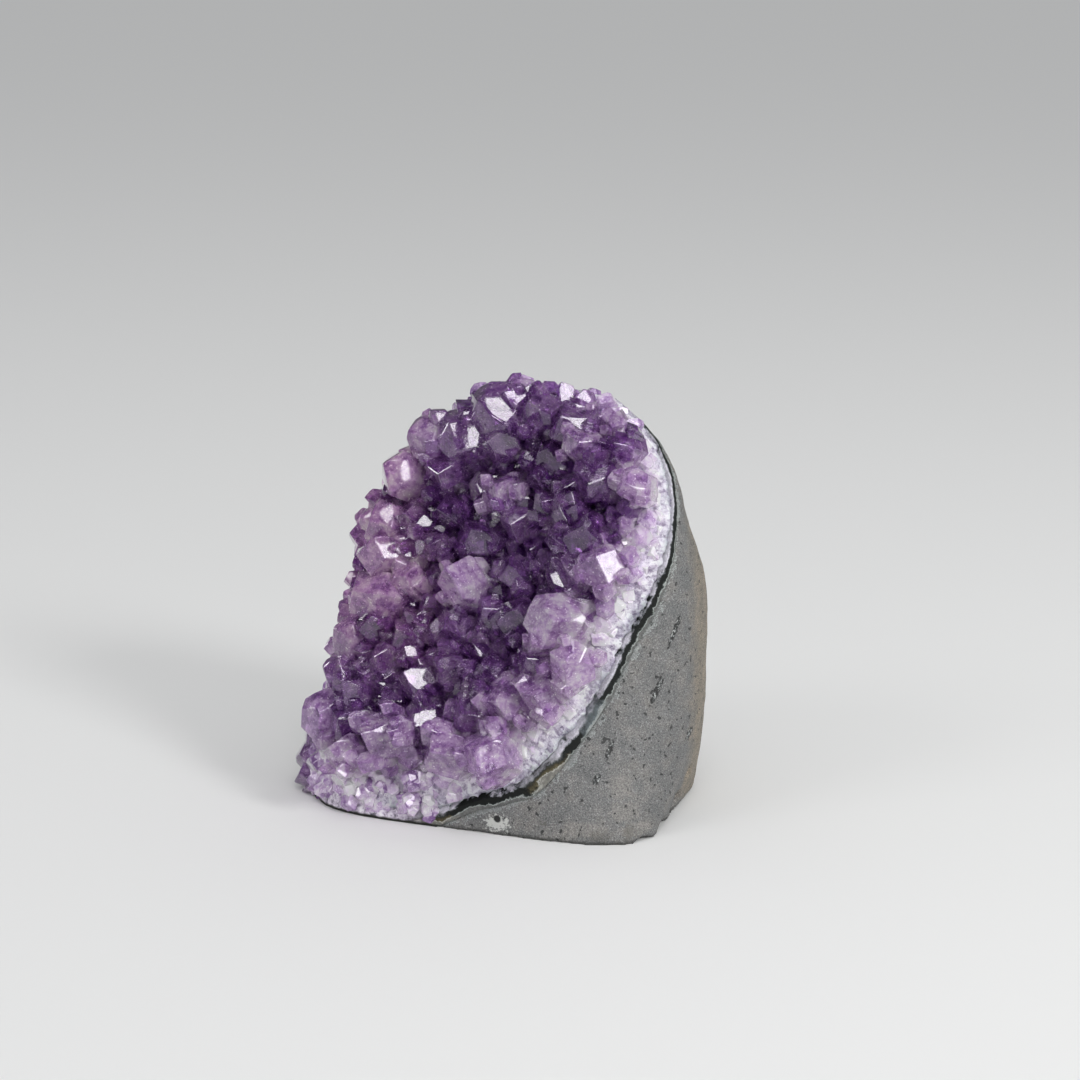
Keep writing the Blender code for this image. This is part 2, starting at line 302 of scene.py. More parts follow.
def patches_mask(tree, patches, ragged, rag=0.9):
    """1 inside any of the ragged patches, 0 outside."""
    joined = None
    for center, reach, turn in patches:
        mask = spot_mask(tree, center, reach, turn, ragged, rag)
        joined = mask if joined is None else math_node(tree, "MAXIMUM", joined, mask)
    return joined


# patches: center and reach in millimetres, and turn
VESICLES = (
    ((35.3, -17.8, 32.9), (0.7, 3.0, 3.6), 0.42),
    ((39.3, -14.4, 45.9), (0.6, 3.0, 4.4), 0.38),
    ((21.8, -24.9, 14.2), (0.8, 3.0, 1.3), 0.5),
    ((24.6, -22.6, 20.6), (0.6, 3.0, 2.4), 0.35),
    ((43.0, -10.0, 20.0), (1.0, 3.0, 1.6), 0.6),
)
HOLE = ((-0.5, -21.9, 3.7), (0.85, 3.0, 0.85), 0.0)
HOLE_CHIPS = ((-0.5, -21.9, 2.7), (2.6, 3.0, 1.8), 0.0)
CRUST_PATCHES = (
    ((28.1, -26.3, 7.1), (3.6, 4.0, 2.4), 0.0),
    ((19.0, -27.0, 3.2), (5.0, 4.0, 1.8), 0.0),
    ((31.0, -26.0, 3.0), (4.5, 4.0, 1.8), 0.0),
    ((27.0, -24.5, 12.5), (2.6, 4.0, 3.2), 0.0),
)
STAIN_PATCHES = (
    ((22.5, -26.8, 1.8), (3.4, 4.0, 1.3), 0.0),
    ((29.0, -26.5, 2.6), (1.6, 4.0, 1.8), 0.0),
    ((10.0, -25.0, 4.0), (1.0, 4.0, 0.5), 0.0),
)
BASALT_GRAIN = 3300.0
BASALT_STOPS = ((0.30, gray(0.022)), (0.43, gray(0.118)), (0.57, gray(0.215)), (0.72, gray(0.520)))
BASALT_TINT = ((0.34, (0.82, 0.84, 0.84)), (0.50, (0.98, 0.98, 0.97)), (0.68, (1.18, 1.14, 1.08)))
VESICLE_STOPS = ((0.44, gray(0.015)), (0.52, (0.05, 0.055, 0.055)), (0.60, (0.55, 0.57, 0.56)))
LACE_STOPS = ((0.18, gray(0.40)), (0.28, gray(0.12)), (0.33, gray(1.0)), (0.38, gray(0.0)))
SKIN_SIDE = (0.93, 0.37, 0.0)  # the weathered skin lies towards the right back
SKIN_START = 35.0
SKIN_TINT = (1.45, 1.22, 0.92, 1.0)
CRUST_GRAY = (0.36, 0.33, 0.29)
STAIN_BROWN = (0.070, 0.060, 0.044)
CHIP_WHITE = (0.62, 0.63, 0.60)
HOLE_BLACK = gray(0.010)
PIT_BLACK = (0.035, 0.036, 0.036)
LACE_WHITE = (0.50, 0.55, 0.53)
# the painted contact shadow along the rock's foot
CONTACT_SHADOW_BLACK = (0.030, 0.030, 0.026)
SCRATCH_TILT = math.radians(22.0)  # the grinding scratches lean this far
SCRATCH_LENGTH = 14.0  # of their width


def basalt_material(grain_group):
    material, tree, shader = new_material("ground_basalt")
    coords = object_coords(tree)
    speckle, blotch, ragged = grain_nodes(tree, grain_group, BASALT_GRAIN)
    grain = ramp_node(tree, speckle, BASALT_STOPS)
    color = mix_color(tree, 1.0, grain, ramp_node(tree, blotch, BASALT_TINT), "MULTIPLY")
    # brown weathered skin
    skin = past(tree, distance_along(tree, SKIN_SIDE), SKIN_START, 5.0)
    skin = swing(tree, blotch, 1.2, skin, clamp=True)
    color = mix_color(tree, skin, color, mix_color(tree, 0.75, color, SKIN_TINT, "MULTIPLY"))
    # pale crusts low on the front
    grainy = math_node(tree, "MULTIPLY_ADD", speckle, 3.0, -1.0, clamp=True)
    for center, reach, turn in CRUST_PATCHES:
        mask = math_node(tree, "MULTIPLY", spot_mask(tree, center, reach, turn, ragged), grainy)
        color = paint(tree, color, mask, 0.5, CRUST_GRAY)
    # dark stains by the broken foot
    for center, reach, turn in STAIN_PATCHES:
        mask = spot_mask(tree, center, reach, turn, ragged, 1.6)
        color = paint(tree, color, mask, 0.4, STAIN_BROWN)
    # open gas holes with pale grains, and the small hole with chipped white edges
    holes = patches_mask(tree, VESICLES, ragged, 1.1)
    color = mix_color(tree, holes, color, ramp_node(tree, ragged, VESICLE_STOPS))
    color = paint(tree, color, spot_mask(tree, *HOLE_CHIPS, ragged, 2.2), 0.85, CHIP_WHITE)
    hole = spot_mask(tree, *HOLE, ragged, 0.2)
    color = paint(tree, color, hole, 1.0, HOLE_BLACK)
    holes = math_node(tree, "MAXIMUM", holes, hole)
    # scattered dark pits
    pits = noise_node(tree, coords, 780.0, 1.0, 0.5)
    pits = math_node(tree, "MULTIPLY_ADD", pits, -22.0, 7.3, clamp=True)
    color = paint(tree, color, pits, 1.0, PIT_BLACK)
    # the lace along the dark lining
    edge = swing(tree, ragged, 5.5, attribute_node(tree, "lining_distance"))
    edge = swing(tree, blotch, 5.0, edge)
    lace = ramp_node(tree, math_node(tree, "MULTIPLY_ADD", edge, 0.2, 0.2), LACE_STOPS)
    grainy = math_node(tree, "MULTIPLY_ADD", speckle, 2.0, -0.3, clamp=True)
    color = paint(tree, color, math_node(tree, "MULTIPLY", lace, grainy), 1.0, LACE_WHITE)
    # painted contact shadow: the rock darkened just above the shelf where it stands
    contact_shadow = past(tree, height_coord(tree), 1.12, -0.7)
    color = paint(tree, color, swing(tree, ragged, 2.5, contact_shadow, clamp=True), 0.75, CONTACT_SHADOW_BLACK)
    tree.links.new(color, shader.inputs["Base Color"])
    rough = math_node(tree, "MULTIPLY_ADD", speckle, -0.35, 0.80)
    tree.links.new(rough, shader.inputs["Roughness"])
    # fine grinding scratches
    lines = stretched(tree, coords, SCRATCH_TILT, (1.0, 1.0, SCRATCH_LENGTH))
    scratches = noise_node(tree, lines, 2600.0, 2.0, 0.5)
    relief = math_node(tree, "MULTIPLY_ADD", scratches, 0.45, speckle)
    relief = math_node(tree, "MULTIPLY_ADD", pits, -1.6, relief)
    relief = math_node(tree, "MULTIPLY_ADD", holes, -2.2, relief)
    tree.links.new(bump_node(tree, relief, 0.55, 0.22 * MM), shader.inputs["Normal"])
    return material


OLIVE_PATCHES = (
    ((14.0, -22.0, 14.0), (9.0, 8.0, 5.5), 0.0),
    ((-14.0, -20.0, 1.0), (8.0, 8.0, 2.4), 0.0),
)
AGATE_PATCH = ((22.0, -21.5, 27.0), (4.2, 8.0, 4.4), 0.0)
LINING_GRAIN = 1300.0
# from the rock's side to the bed's side
LINING_STOPS = (
    (0.10, (0.165, 0.168, 0.162)),
    (0.17, (0.440, 0.480, 0.460)),
    (0.21, (0.200, 0.215, 0.205)),
    (0.25, (0.040, 0.048, 0.044)),
    (0.31, (0.008, 0.010, 0.009)),
    (0.74, (0.008, 0.010, 0.009)),
    (0.82, (0.200, 0.210, 0.230)),
    (0.92, (0.640, 0.620, 0.690)),
)
OLIVE_STOPS = (
    (0.05, (0.230, 0.225, 0.200)),
    (0.14, (0.520, 0.520, 0.470)),
    (0.22, (0.130, 0.110, 0.060)),
    (0.42, (0.055, 0.047, 0.026)),
    (0.60, (0.040, 0.045, 0.044)),
    (0.80, (0.380, 0.380, 0.410)),
)
AGATE_STOPS = (
    (0.05, (0.46, 0.50, 0.49)),
    (0.20, (0.20, 0.235, 0.25)),
    (0.60, (0.15, 0.175, 0.19)),
    (0.80, (0.40, 0.42, 0.46)),
)
MOTTLE_STOPS = ((0.30, gray(0.60)), (0.55, gray(1.0)), (0.75, gray(1.5)))
FLAKE_STOPS = (
    (0.38, (0.10, 0.11, 0.115)),
    (0.45, (0.42, 0.36, 0.46)),
    (0.52, (0.74, 0.67, 0.78)),
    (0.60, (0.96, 0.94, 0.97)),
)
# the painted contact shadow along the lining's foot
FOOT_SHADOW_BLACK = (0.020, 0.022, 0.018)


def flake_noise(tree):
    """The flakiness that the bed shares with the lining's faded end."""
    return noise_node(tree, object_coords(tree), 520.0, 6.0, 0.75, 0.3)


def lining_material(grain_group):
    material, tree, shader = new_material("dark_lining")
    speckle, blotch, ragged = grain_nodes(tree, grain_group, LINING_GRAIN)
    # low on the left the lining fades into flaky quartz
    leftward = past(tree, distance_along(tree, ACROSS), -8.0, -8.0, clamp=True)
    lowness = past(tree, height_coord(tree), 16.0, -8.0, clamp=True)
    fading = math_node(tree, "MULTIPLY", leftward, lowness)
    layer = swing(tree, ragged, 0.9, attribute_node(tree, "layer"))
    layer = swing(tree, blotch, 1.9, layer)
    layer = math_node(tree, "MULTIPLY_ADD", fading, 0.48, layer)
    color = ramp_node(tree, layer, LINING_STOPS)
    olive = math_node(tree, "MULTIPLY", patches_mask(tree, OLIVE_PATCHES, ragged), 0.9)
    color = mix_color(tree, olive, color, ramp_node(tree, layer, OLIVE_STOPS))
    agate = math_node(tree, "MULTIPLY", spot_mask(tree, *AGATE_PATCH, ragged), 0.6)
    color = mix_color(tree, agate, color, ramp_node(tree, layer, AGATE_STOPS))
    color = mix_color(tree, 1.0, color, ramp_node(tree, speckle, MOTTLE_STOPS), "MULTIPLY")
    flaky = math_node(tree, "MULTIPLY", fading, 1.6, clamp=True)
    color = mix_color(tree, flaky, color, ramp_node(tree, flake_noise(tree), FLAKE_STOPS))
    # painted contact shadow: the ground edge right above the shelf is darkened
    foot = past(tree, height_coord(tree), 0.88, -0.4)
    color = paint(tree, color, swing(tree, ragged, 1.6, foot, clamp=True), 1.0, FOOT_SHADOW_BLACK)
    tree.links.new(color, shader.inputs["Base Color"])
    rough = math_node(tree, "MULTIPLY_ADD", speckle, 0.5, 0.42)
    tree.links.new(rough, shader.inputs["Roughness"])
    shader.inputs["Specular IOR Level"].default_value = 0.2
    relief = math_node(tree, "MULTIPLY_ADD", speckle, 0.5, ragged)
    tree.links.new(bump_node(tree, relief, 0.8, 0.4 * MM), shader.inputs["Normal"])
    return material


QUARTZ_GRAIN = 2000.0
MILK_STOPS = (
    (0.38, (0.240, 0.190, 0.290)),
    (0.45, (0.500, 0.440, 0.560)),
    (0.51, (0.780, 0.730, 0.820)),
    (0.58, (0.970, 0.960, 0.980)),
)
# from the lining outwards
BED_TINT = (
    (0.03, (0.52, 0.56, 0.58)),
    (0.12, (0.88, 0.90, 0.92)),
    (0.28, (0.98, 0.97, 0.99)),
    (0.50, (0.88, 0.78, 0.95)),
    (0.72, (0.42, 0.26, 0.58)),
)
SPECK_GRAY = (0.085, 0.098, 0.100)
BEND = (1.6 * MM,) * 3  # how far the grains' outlines wander


def milky_quartz_material(grain_group):
    material, tree, shader = new_material("milky_quartz")
    coords = object_coords(tree)
    speckle, blotch, ragged = grain_nodes(tree, grain_group, QUARTZ_GRAIN)
    rays = add_node(tree, "ShaderNodeAttribute", attribute_name="rays").outputs["Vector"]
    streaks = noise_node(tree, rays, 1100.0, 5.0, 0.65, 0.3)
    flakes = flake_noise(tree)
    wobble = add_node(tree, "ShaderNodeTexNoise", {"Vector": coords, "Scale": 420.0})
    bent = add_node(
        tree, "ShaderNodeVectorMath", {0: wobble.outputs["Color"], 1: BEND, 2: coords},
        operation="MULTIPLY_ADD",
    ).outputs["Vector"]
    veil = math_node(tree, "MULTIPLY", flakes, 0.60)
    veil = math_node(tree, "MULTIPLY_ADD", streaks, 0.22, veil)
    veil = math_node(tree, "MULTIPLY_ADD", mosaic_node(tree, bent, 520.0), 0.09, veil)
    veil = math_node(tree, "MULTIPLY_ADD", mosaic_node(tree, bent, 1500.0), 0.10, veil)
    depth = attribute_node(tree, "lining_distance")
    layer = math_node(tree, "MULTIPLY", swing(tree, blotch, 6.0, depth), 0.1)
    tint = ramp_node(tree, layer, BED_TINT)
    color = mix_color(tree, 1.0, ramp_node(tree, veil, MILK_STOPS), tint, "MULTIPLY")
    # dark specks by the lining
    specks = math_node(tree, "MULTIPLY_ADD", ragged, -9.0, 3.9)
    specks = math_node(tree, "MULTIPLY_ADD", depth, -0.45, specks, clamp=True)
    color = paint(tree, color, specks, 0.8, SPECK_GRAY)
    tree.links.new(color, shader.inputs["Base Color"])
    rough = math_node(tree, "MULTIPLY_ADD", flakes, 0.5, 0.12)
    tree.links.new(rough, shader.inputs["Roughness"])
    shader.inputs["Subsurface Weight"].default_value = 0.22
    shader.inputs["Subsurface Radius"].default_value = (1.2 * MM, 0.9 * MM, 1.3 * MM)
    shader.inputs["Subsurface Scale"].default_value = 1.0
    relief = math_node(tree, "MULTIPLY_ADD", speckle, 0.5, veil)
    tree.links.new(bump_node(tree, relief, 0.9, 0.5 * MM), shader.inputs["Normal"])
    return material


# ======== crystal materials
VEIL_SCALE = 360.0
FLECK_SCALE = 1500.0
BLUSH = (1.0, 0.86, 0.90, 1.0)
DEEP_STOPS = (
    (0.00, (0.150, 0.040, 0.240)),
    (0.28, (0.420, 0.175, 0.580)),
    (0.55, (0.680, 0.430, 0.790)),
    (0.80, (0.860, 0.730, 0.900)),
    (1.00, (0.980, 0.950, 0.980)),
)
PALE_STOPS = (
    (0.00, (0.170, 0.060, 0.250)),
    (0.30, (0.440, 0.225, 0.560)),
    (0.55, (0.730, 0.505, 0.810)),
    (0.80, (0.930, 0.815, 0.950)),
    (1.00, (1.000, 0.975, 1.000)),
)
FROSTED_STOPS = (
    (0.00, (0.280, 0.140, 0.380)),
    (0.30, (0.560, 0.370, 0.680)),
    (0.55, (0.820, 0.660, 0.890)),
    (0.80, (0.960, 0.890, 0.980)),
    (1.00, (1.000, 1.000, 1.000)),
)


def crystal_veils_group():
    """Cloudy veils and flecks inside a crystal: one value for the veils, one for the flecks."""
    group, inner, outer = new_group(
        "crystal_veils", ["Veil scale", "Fleck scale"], ["Veils", "Flecks"]
    )
    coords = inner["Coords"]
    veils = noise_node(group, coords, inner["Veil scale"], 6.0, 0.72, 0.15)
    flecks = noise_node(group, coords, inner["Fleck scale"], 5.0, 0.75)
    flecks = math_node(group, "MULTIPLY_ADD", flecks, 11.0, -6.5, clamp=True)
    group.links.new(swing(group, veils, 1.5, 0.5), outer["Veils"])
    group.links.new(flecks, outer["Flecks"])
    return group


def amethyst_material(name, group, transmission, stops, cloudiness):
    material, tree, shader = new_material(name)
    coords = object_coords(tree)
    inputs = {"Coords": coords, "Veil scale": VEIL_SCALE, "Fleck scale": FLECK_SCALE}
    inside = add_node(tree, "ShaderNodeGroup", inputs, node_tree=group).outputs
    flecks = inside["Flecks"]
    shade = swing(tree, inside["Veils"], 1.6, attribute_node(tree, "paleness"))
    shade = math_node(tree, "MULTIPLY_ADD", flecks, 0.60, shade, clamp=True)
    color = ramp_node(tree, shade, stops)
    color = mix_color(tree, attribute_node(tree, "blush"), color, BLUSH, "MULTIPLY")
    tree.links.new(color, shader.inputs["Base Color"])
    rough = math_node(tree, "MULTIPLY_ADD", flecks, 0.45, cloudiness)
    tree.links.new(rough, shader.inputs["Roughness"])
    shader.inputs["IOR"].default_value = 1.55
    shader.inputs["Transmission Weight"].default_value = transmission
    # growth steps: each one mirrors a little more or less than its neighbour
    steps = mosaic_node(tree, coords, 900.0)
    gloss = math_node(tree, "MULTIPLY_ADD", steps, -0.35, 1.0)
    gloss = math_node(tree, "MULTIPLY_ADD", flecks, -0.5, gloss, clamp=True)
    tree.links.new(gloss, shader.inputs["Coat Weight"])
    shader.inputs["Coat Roughness"].default_value = 0.02
    relief = noise_node(tree, coords, 300.0, 4.0, 0.6)
    relief = math_node(tree, "MULTIPLY_ADD", steps, 0.16, relief)
    tree.links.new(bump_node(tree, relief, 0.30, 0.25 * MM), shader.inputs["Normal"])
    return material


# ======== the rock, its lining, its bed
def surface_tree(node):
    mesh = nodes[node].data
    points = [vertex.co.copy() for vertex in mesh.vertices]
    return BVHTree.FromPolygons(points, [tuple(face.vertices) for face in mesh.polygons])


def add_lining_distance(piece):
    """Stores how far each point lies from the dark lining, in millimetres."""
    points = vertex_array(piece.data)
    distances = [lining_tree.find_nearest(Vector(point))[3] / MM for point in points]
    set_attribute(piece.data, "lining_distance", distances)
    return np.array(distances)


# chips knocked off the rock's foot, and last the small hole: center and radius in millimetres
CHIPS = (
    ((45.6, -5.0, 7.0), 4.0),
    ((43.0, -9.8, 2.6), 4.4),
    ((38.0, -18.2, -0.8), 4.2),
    ((47.5, -4.0, 15.5), 2.6),
    ((33.0, -26.0, -1.6), 3.0),
    ((41.0, -15.5, 0.8), 3.0),
    ((-0.5, -22.6, 3.7), 1.0),
)
CHIP_STRETCH = ((0.9, 1.2), (0.8, 1.1), (0.7, 1.0))
CHIP_ROUGHNESS = 0.12  # of a chip's radius


def chip_away(rock, center, radius, seed):
    """Knocks a shell-shaped chip off the rock with a rough ball."""
    random = Random(seed)
    deselect_all()
    bpy.ops.mesh.primitive_ico_sphere_add(
        subdivisions=3, radius=radius * MM, location=tuple(c * MM for c in center)
    )
    ball = bpy.context.object
    bpy.ops.object.transform_apply(location=True, rotation=False, scale=False)
    bpy.ops.object.mode_set(mode="EDIT")
    bpy.ops.mesh.select_all(action="SELECT")
    bpy.ops.transform.vertex_random(
        offset=radius * CHIP_ROUGHNESS * MM, uniform=1.0, normal=0.0, seed=seed
    )
    bpy.ops.transform.resize(value=[random.uniform(*limits) for limits in CHIP_STRETCH])
    bpy.ops.object.mode_set(mode="OBJECT")
    apply_modifier(rock, "BOOLEAN", operation="DIFFERENCE", object=ball, solver="EXACT")
    bpy.data.objects.remove(ball)


def build_rock(grain_group):
    rock = copy_of_node("basalt_matrix", "ground_rock")
    for seed, (center, radius) in enumerate(CHIPS, 1):
        chip_away(rock, center, radius, seed)
    refine(rock, 5)
    roughen(rock, "rock_waves", "CLOUDS", 9.0, 0.7, 0.55)
    roughen(rock, "rock_grit", "CLOUDS", 1.6, 0.14, 0.55)
    add_lining_distance(rock)
    make_active(rock)
    bpy.ops.object.shade_smooth()
    rock.data.materials.append(basalt_material(grain_group))
    finish_piece(rock, "basalt", "basalt_matrix")


GAP_SHARE = 0.14  # the gap on either side of the lining, of the way from the rock to the bed
LINING_PROUD = 0.25 * MM  # how far the lining's ends stand out of the frame's solid


def build_lining(grain_group):
    lining = copy_of_node("celadonite_band", "dark_lining")
    rock_side, bed_side = surface_tree("basalt_matrix"), surface_tree("quartz_bed")
    layers = []
    for point in vertex_array(lining.data):
        to_rock = rock_side.find_nearest(Vector(point))[3]
        to_bed = bed_side.find_nearest(Vector(point))[3]
        share = to_rock / (to_rock + to_bed)
        layers.append((share - GAP_SHARE) / (1.0 - 2.0 * GAP_SHARE))
    set_attribute(lining.data, "layer", layers)
    shift_faces(lining, lambda face: face.normal.dot(OUTWARD) > 0.6, OUTWARD * LINING_PROUD)
    shift_faces(lining, lambda face: face.normal.dot(OUTWARD) < -0.6, -OUTWARD * LINING_PROUD)
    lining.data.materials.append(lining_material(grain_group))
    finish_piece(lining, "celadonite", "celadonite_band")


RING_CENTER = np.array((-2.5, 50.0)) * MM  # the middle of the open face: across and up
RING_RADIUS = 45.0 * MM


def add_rays(piece):
    """Stores a vector that changes fast round the rim and slowly across it, for streaks."""
    local = vertex_array(piece.data) - np.array(FACE_FOOT)
    flat = np.stack([local @ np.array(ACROSS), local @ np.array(UPWARD)], 1) - RING_CENTER
    length = np.linalg.norm(flat, axis=1, keepdims=True)
    rays = flat / length * RING_RADIUS + flat * 0.10
    depth = (local @ np.array(OUTWARD))[:, None] * 0.35
    attribute = piece.data.attributes.new("rays", "FLOAT_VECTOR", "POINT")
    attribute.data.foreach_set("vector", np.concatenate([rays, depth], 1).astype(np.float32).ravel())


def build_bed(grain_group):
    bed = copy_of_node("quartz_bed", "milky_bed")
    refine(bed, 3)
    roughen(bed, "bed_points", "VORONOI", 3.2, 1.1, 0.6)
    roughen(bed, "bed_flakes", "CLOUDS", 0.9, 0.4, 0.6, depth=4)
    distances = add_lining_distance(bed)
    add_rays(bed)
    make_active(bed)
    bpy.ops.object.shade_smooth()
    bed.data.materials.append(milky_quartz_material(grain_group))
    finish_piece(bed, "quartz", "quartz_bed")
    return bed, distances


RIM_NEAR, RIM_FAR = 1.2, 5.2  # the ground rim's distances from the lining, in millimetres


def rim_points(bed, distances):
    """The ground rim of the bed: every third point between its two edges."""
    points = vertex_array(bed.data)
    chosen = points[(distances > RIM_NEAR) & (distances < RIM_FAR)][::3]
    tree = KDTree(len(chosen))
    for index, point in enumerate(chosen):
        tree.insert(Vector(point), index)
    tree.balance()
    return tree


# ======== crystals
TEMPLATE_DEPTH = 8.0  # of the column that a template is cut from, in radii
ROOT_CUT = -2.6  # where a template ends below its tip, in radii
LEAST_ROOT = 1.7  # and the least that a copy keeps of it
FACE_SPREAD = 0.14  # how far a template's tip strays from its middle, in radii
USUAL_LENGTH = 1.8  # of a point that isn't stretched, in radii
LEAST_STRETCH, MOST_STRETCH = 0.90, 1.45
WORN_ANGLE = math.radians(15.0)  # edges sharper than this are worn round
SMOOTH_ANGLE = math.radians(25.0)
TOP_LIMIT = 98.2 * MM  # the highest that a tip stands
LOW_LIMIT = 0.3 * MM  # the lowest that a crystal reaches, just above the shelf
USUAL_PALENESS = 0.21
RIM_PALENESS = 0.72  # how much paler a crystal is right at the rim
RIM_FADE = 3.6  # and how fast that fades away from the rim, in millimetres
TOP_DEPTH = 0.06  # how much deeper it is at the top
PALE_FROM = 0.42  # the paleness from which a crystal takes a pale material
DEEP, PALE, FROSTED = range(3)
KIND_NAMES = ("deep", "pale", "frosted")


def rim_side(point):
    """1 on the pale right and lower rim, less on the left and at the top."""
    across = Vector(point).dot(ACROSS) / MM
    height = point[2] / MM
    right = smooth_step(-12.0, 14.0, across - 0.15 * (height - 50.0))
    low = 1.0 - smooth_step(8.0, 24.0, height)
    return max(0.45, right * (1.0 - 0.3 * smooth_step(72.0, 96.0, height)), 0.85 * low)


def blush_at(point):
    """1 on the worn pinkish points along the left edge and over the top left."""
    across = Vector(point).dot(ACROSS) / MM
    left = 1.0 - smooth_step(-30.0, -12.0, across + 0.30 * (point[2] / MM - 50.0) - 8.0)
    return left * smooth_step(26.0, 44.0, point[2] / MM)


def paleness_at(point, rim, offset):
    """How pale a crystal is: deep in the middle and at the top, pale by the rim."""
    rim_distance = rim.find(Vector(point))[2] / MM
    rim_share = math.exp(-max(0.0, rim_distance - 1.0) / RIM_FADE) * rim_side(point)
    top = smooth_step(66.0, 84.0, point[2] / MM)
    return USUAL_PALENESS + offset + RIM_PALENESS * rim_share - TOP_DEPTH * top


def paint_crystals(piece, rim):
    """Keeps crystals off the shelf, and stores paleness and blush from the tone each one holds."""
    mesh = piece.data
    for vertex in mesh.vertices:
        vertex.co.z = max(vertex.co.z, LOW_LIMIT)
    tones = np.empty(len(mesh.vertices), np.float32)
    mesh.attributes["tone"].data.foreach_get("value", tones)
    points = vertex_array(mesh)
    values = [paleness_at(p, rim, tone) for p, tone in zip(points, tones)]
    set_attribute(mesh, "paleness", values)
    set_attribute(mesh, "blush", [blush_at(p) for p in points])
    return float(np.mean(values))


def crystal_template(name, seed, wear, pitches, segments=1):
    """A six-sided point of unit radius whose tip is at the origin, with a flat root below."""
    random = Random(seed)
    deselect_all()
    bpy.ops.mesh.primitive_cylinder_add(vertices=6, radius=1.0, depth=TEMPLATE_DEPTH)
    template = bpy.context.object
    template.name = name
    bpy.ops.object.mode_set(mode="EDIT")
    across, along = (random.uniform(-FACE_SPREAD, FACE_SPREAD) for _ in range(2))
    tip = Vector((across, along, 0.0))
    for side in range(6):
        pitch = math.radians(random.uniform(*pitches))
        angle = math.pi / 6 + side * math.pi / 3 + random.gauss(0.0, 0.05)
        normal = Vector(
            (math.cos(angle) * math.cos(pitch), math.sin(angle) * math.cos(pitch), math.sin(pitch))
        )
        slack = random.uniform(0.0, 0.05) if side % 2 else random.uniform(0.03, 0.36)
        bpy.ops.mesh.select_all(action="SELECT")
        bpy.ops.mesh.bisect(
            plane_co=tip + normal * slack, plane_no=normal,
            use_fill=True, clear_outer=True, threshold=1e-5,
        )
    bpy.ops.mesh.select_all(action="SELECT")
    bpy.ops.mesh.remove_doubles(threshold=0.03)
    bpy.ops.mesh.normals_make_consistent(inside=False)
    bpy.ops.object.mode_set(mode="OBJECT")
    apply_modifier(
        template, "BEVEL", width=wear, segments=segments, limit_method="ANGLE",
        angle_limit=WORN_ANGLE,
    )
    make_active(template)
    bpy.ops.object.mode_set(mode="EDIT")
    bpy.ops.mesh.select_all(action="SELECT")
    bpy.ops.mesh.bisect(
        plane_co=(0, 0, ROOT_CUT), plane_no=(0, 0, -1), use_fill=True, clear_outer=True
    )
    bpy.ops.object.mode_set(mode="OBJECT")
    if segments > 1:
        bpy.ops.object.shade_smooth_by_angle(angle=SMOOTH_ANGLE)
    return template


def join_pieces(pieces, name):
    deselect_all()
    for piece in pieces:
        piece.select_set(True)
    bpy.context.view_layer.objects.active = pieces[0]
    if len(pieces) > 1:
        bpy.ops.object.join()
    pieces[0].name = name
    pieces[0].data.name = name
    return pieces[0]


def stand_copy(template, root, axis, radius, length, spin, tone, squash=1.0):
    """A copy of a template point with its own mesh, its tip a length above its root, holding its tone."""
    point = template.copy()
    point.data = template.data.copy()
    bpy.context.scene.collection.objects.link(point)
    stretch = min(MOST_STRETCH, max(LEAST_STRETCH, length / radius / USUAL_LENGTH))
    sunk = length / radius / stretch + 0.35
    for vertex in point.data.vertices:
        if vertex.co.z < ROOT_CUT + 0.01:
            vertex.co.z = -max(sunk, LEAST_ROOT)
    turn = axis.normalized().to_track_quat("Z", "Y").to_matrix().to_4x4()
    size = Matrix.Diagonal((radius, radius * squash, radius * stretch, 1.0))
    tip = root + axis.normalized() * length
    tip.z = min(tip.z, TOP_LIMIT)
    point.data.transform(Matrix.Translation(tip) @ turn @ Matrix.Rotation(spin, 4, "Z") @ size)
    set_attribute(point.data, "tone", [tone] * len(point.data.vertices))
    return point


ROOT_LAYER = 1.2 * MM  # a frame crystal's points this near its foot give its root


def measure_node(node):
    """Root, axis, radius and length of a large point, read from the frame."""
    points = vertex_array(nodes[node].data)
    outs = points @ np.array(OUTWARD)
    tip = Vector(points[outs.argmax()])
    root = Vector(points[outs < outs.min() + ROOT_LAYER].mean(0))
    axis = (tip - root).normalized()
    spread = points - np.array(root)
    radial = spread - np.outer(spread @ np.array(axis), np.array(axis))
    radius = float(np.percentile(np.linalg.norm(radial, axis=1), 80))
    return root, axis, radius, (tip - root).length


# how much paler than its place some large points are, by number
PALE_POINTS = {
    1: 0.36, 2: 0.30, 3: 0.12, 6: 0.20, 7: 0.26, 8: 0.16, 10: 0.22, 11: 0.30, 12: 0.18, 13: 0.28,
    14: 0.32, 15: 0.24, 16: 0.20, 17: 0.24, 18: 0.16, 19: 0.16, 20: 0.10, 23: 0.14, 24: 0.08, 53: 0.12,
}
WORN_POINTS = {8, 12, 13, 14, 15, 16, 17, 18, 19, 20}
WORN_GROWTH = 1.35  # a worn point's girth against its frame crystal's
LOW_WORN_HEIGHT = 30.0 * MM  # and the same below this height
LOW_WORN_GROWTH = 0.96
TURNED_POINTS = {6, 7, 11, 14, 17, 20}  # turned further, so that no broad face mirrors a light
FURTHER_TURN = 0.6
SIDE_COUNT = (4, 7)  # how few and how many side points a large point has
WORN_SIDE_COUNT = (1, 3)
SIDE_GIRTH = (0.28, 0.60)  # a side point's radius and length, of its large point's
SIDE_LENGTH = (0.50, 0.88)
SIDE_LEAN = 0.42


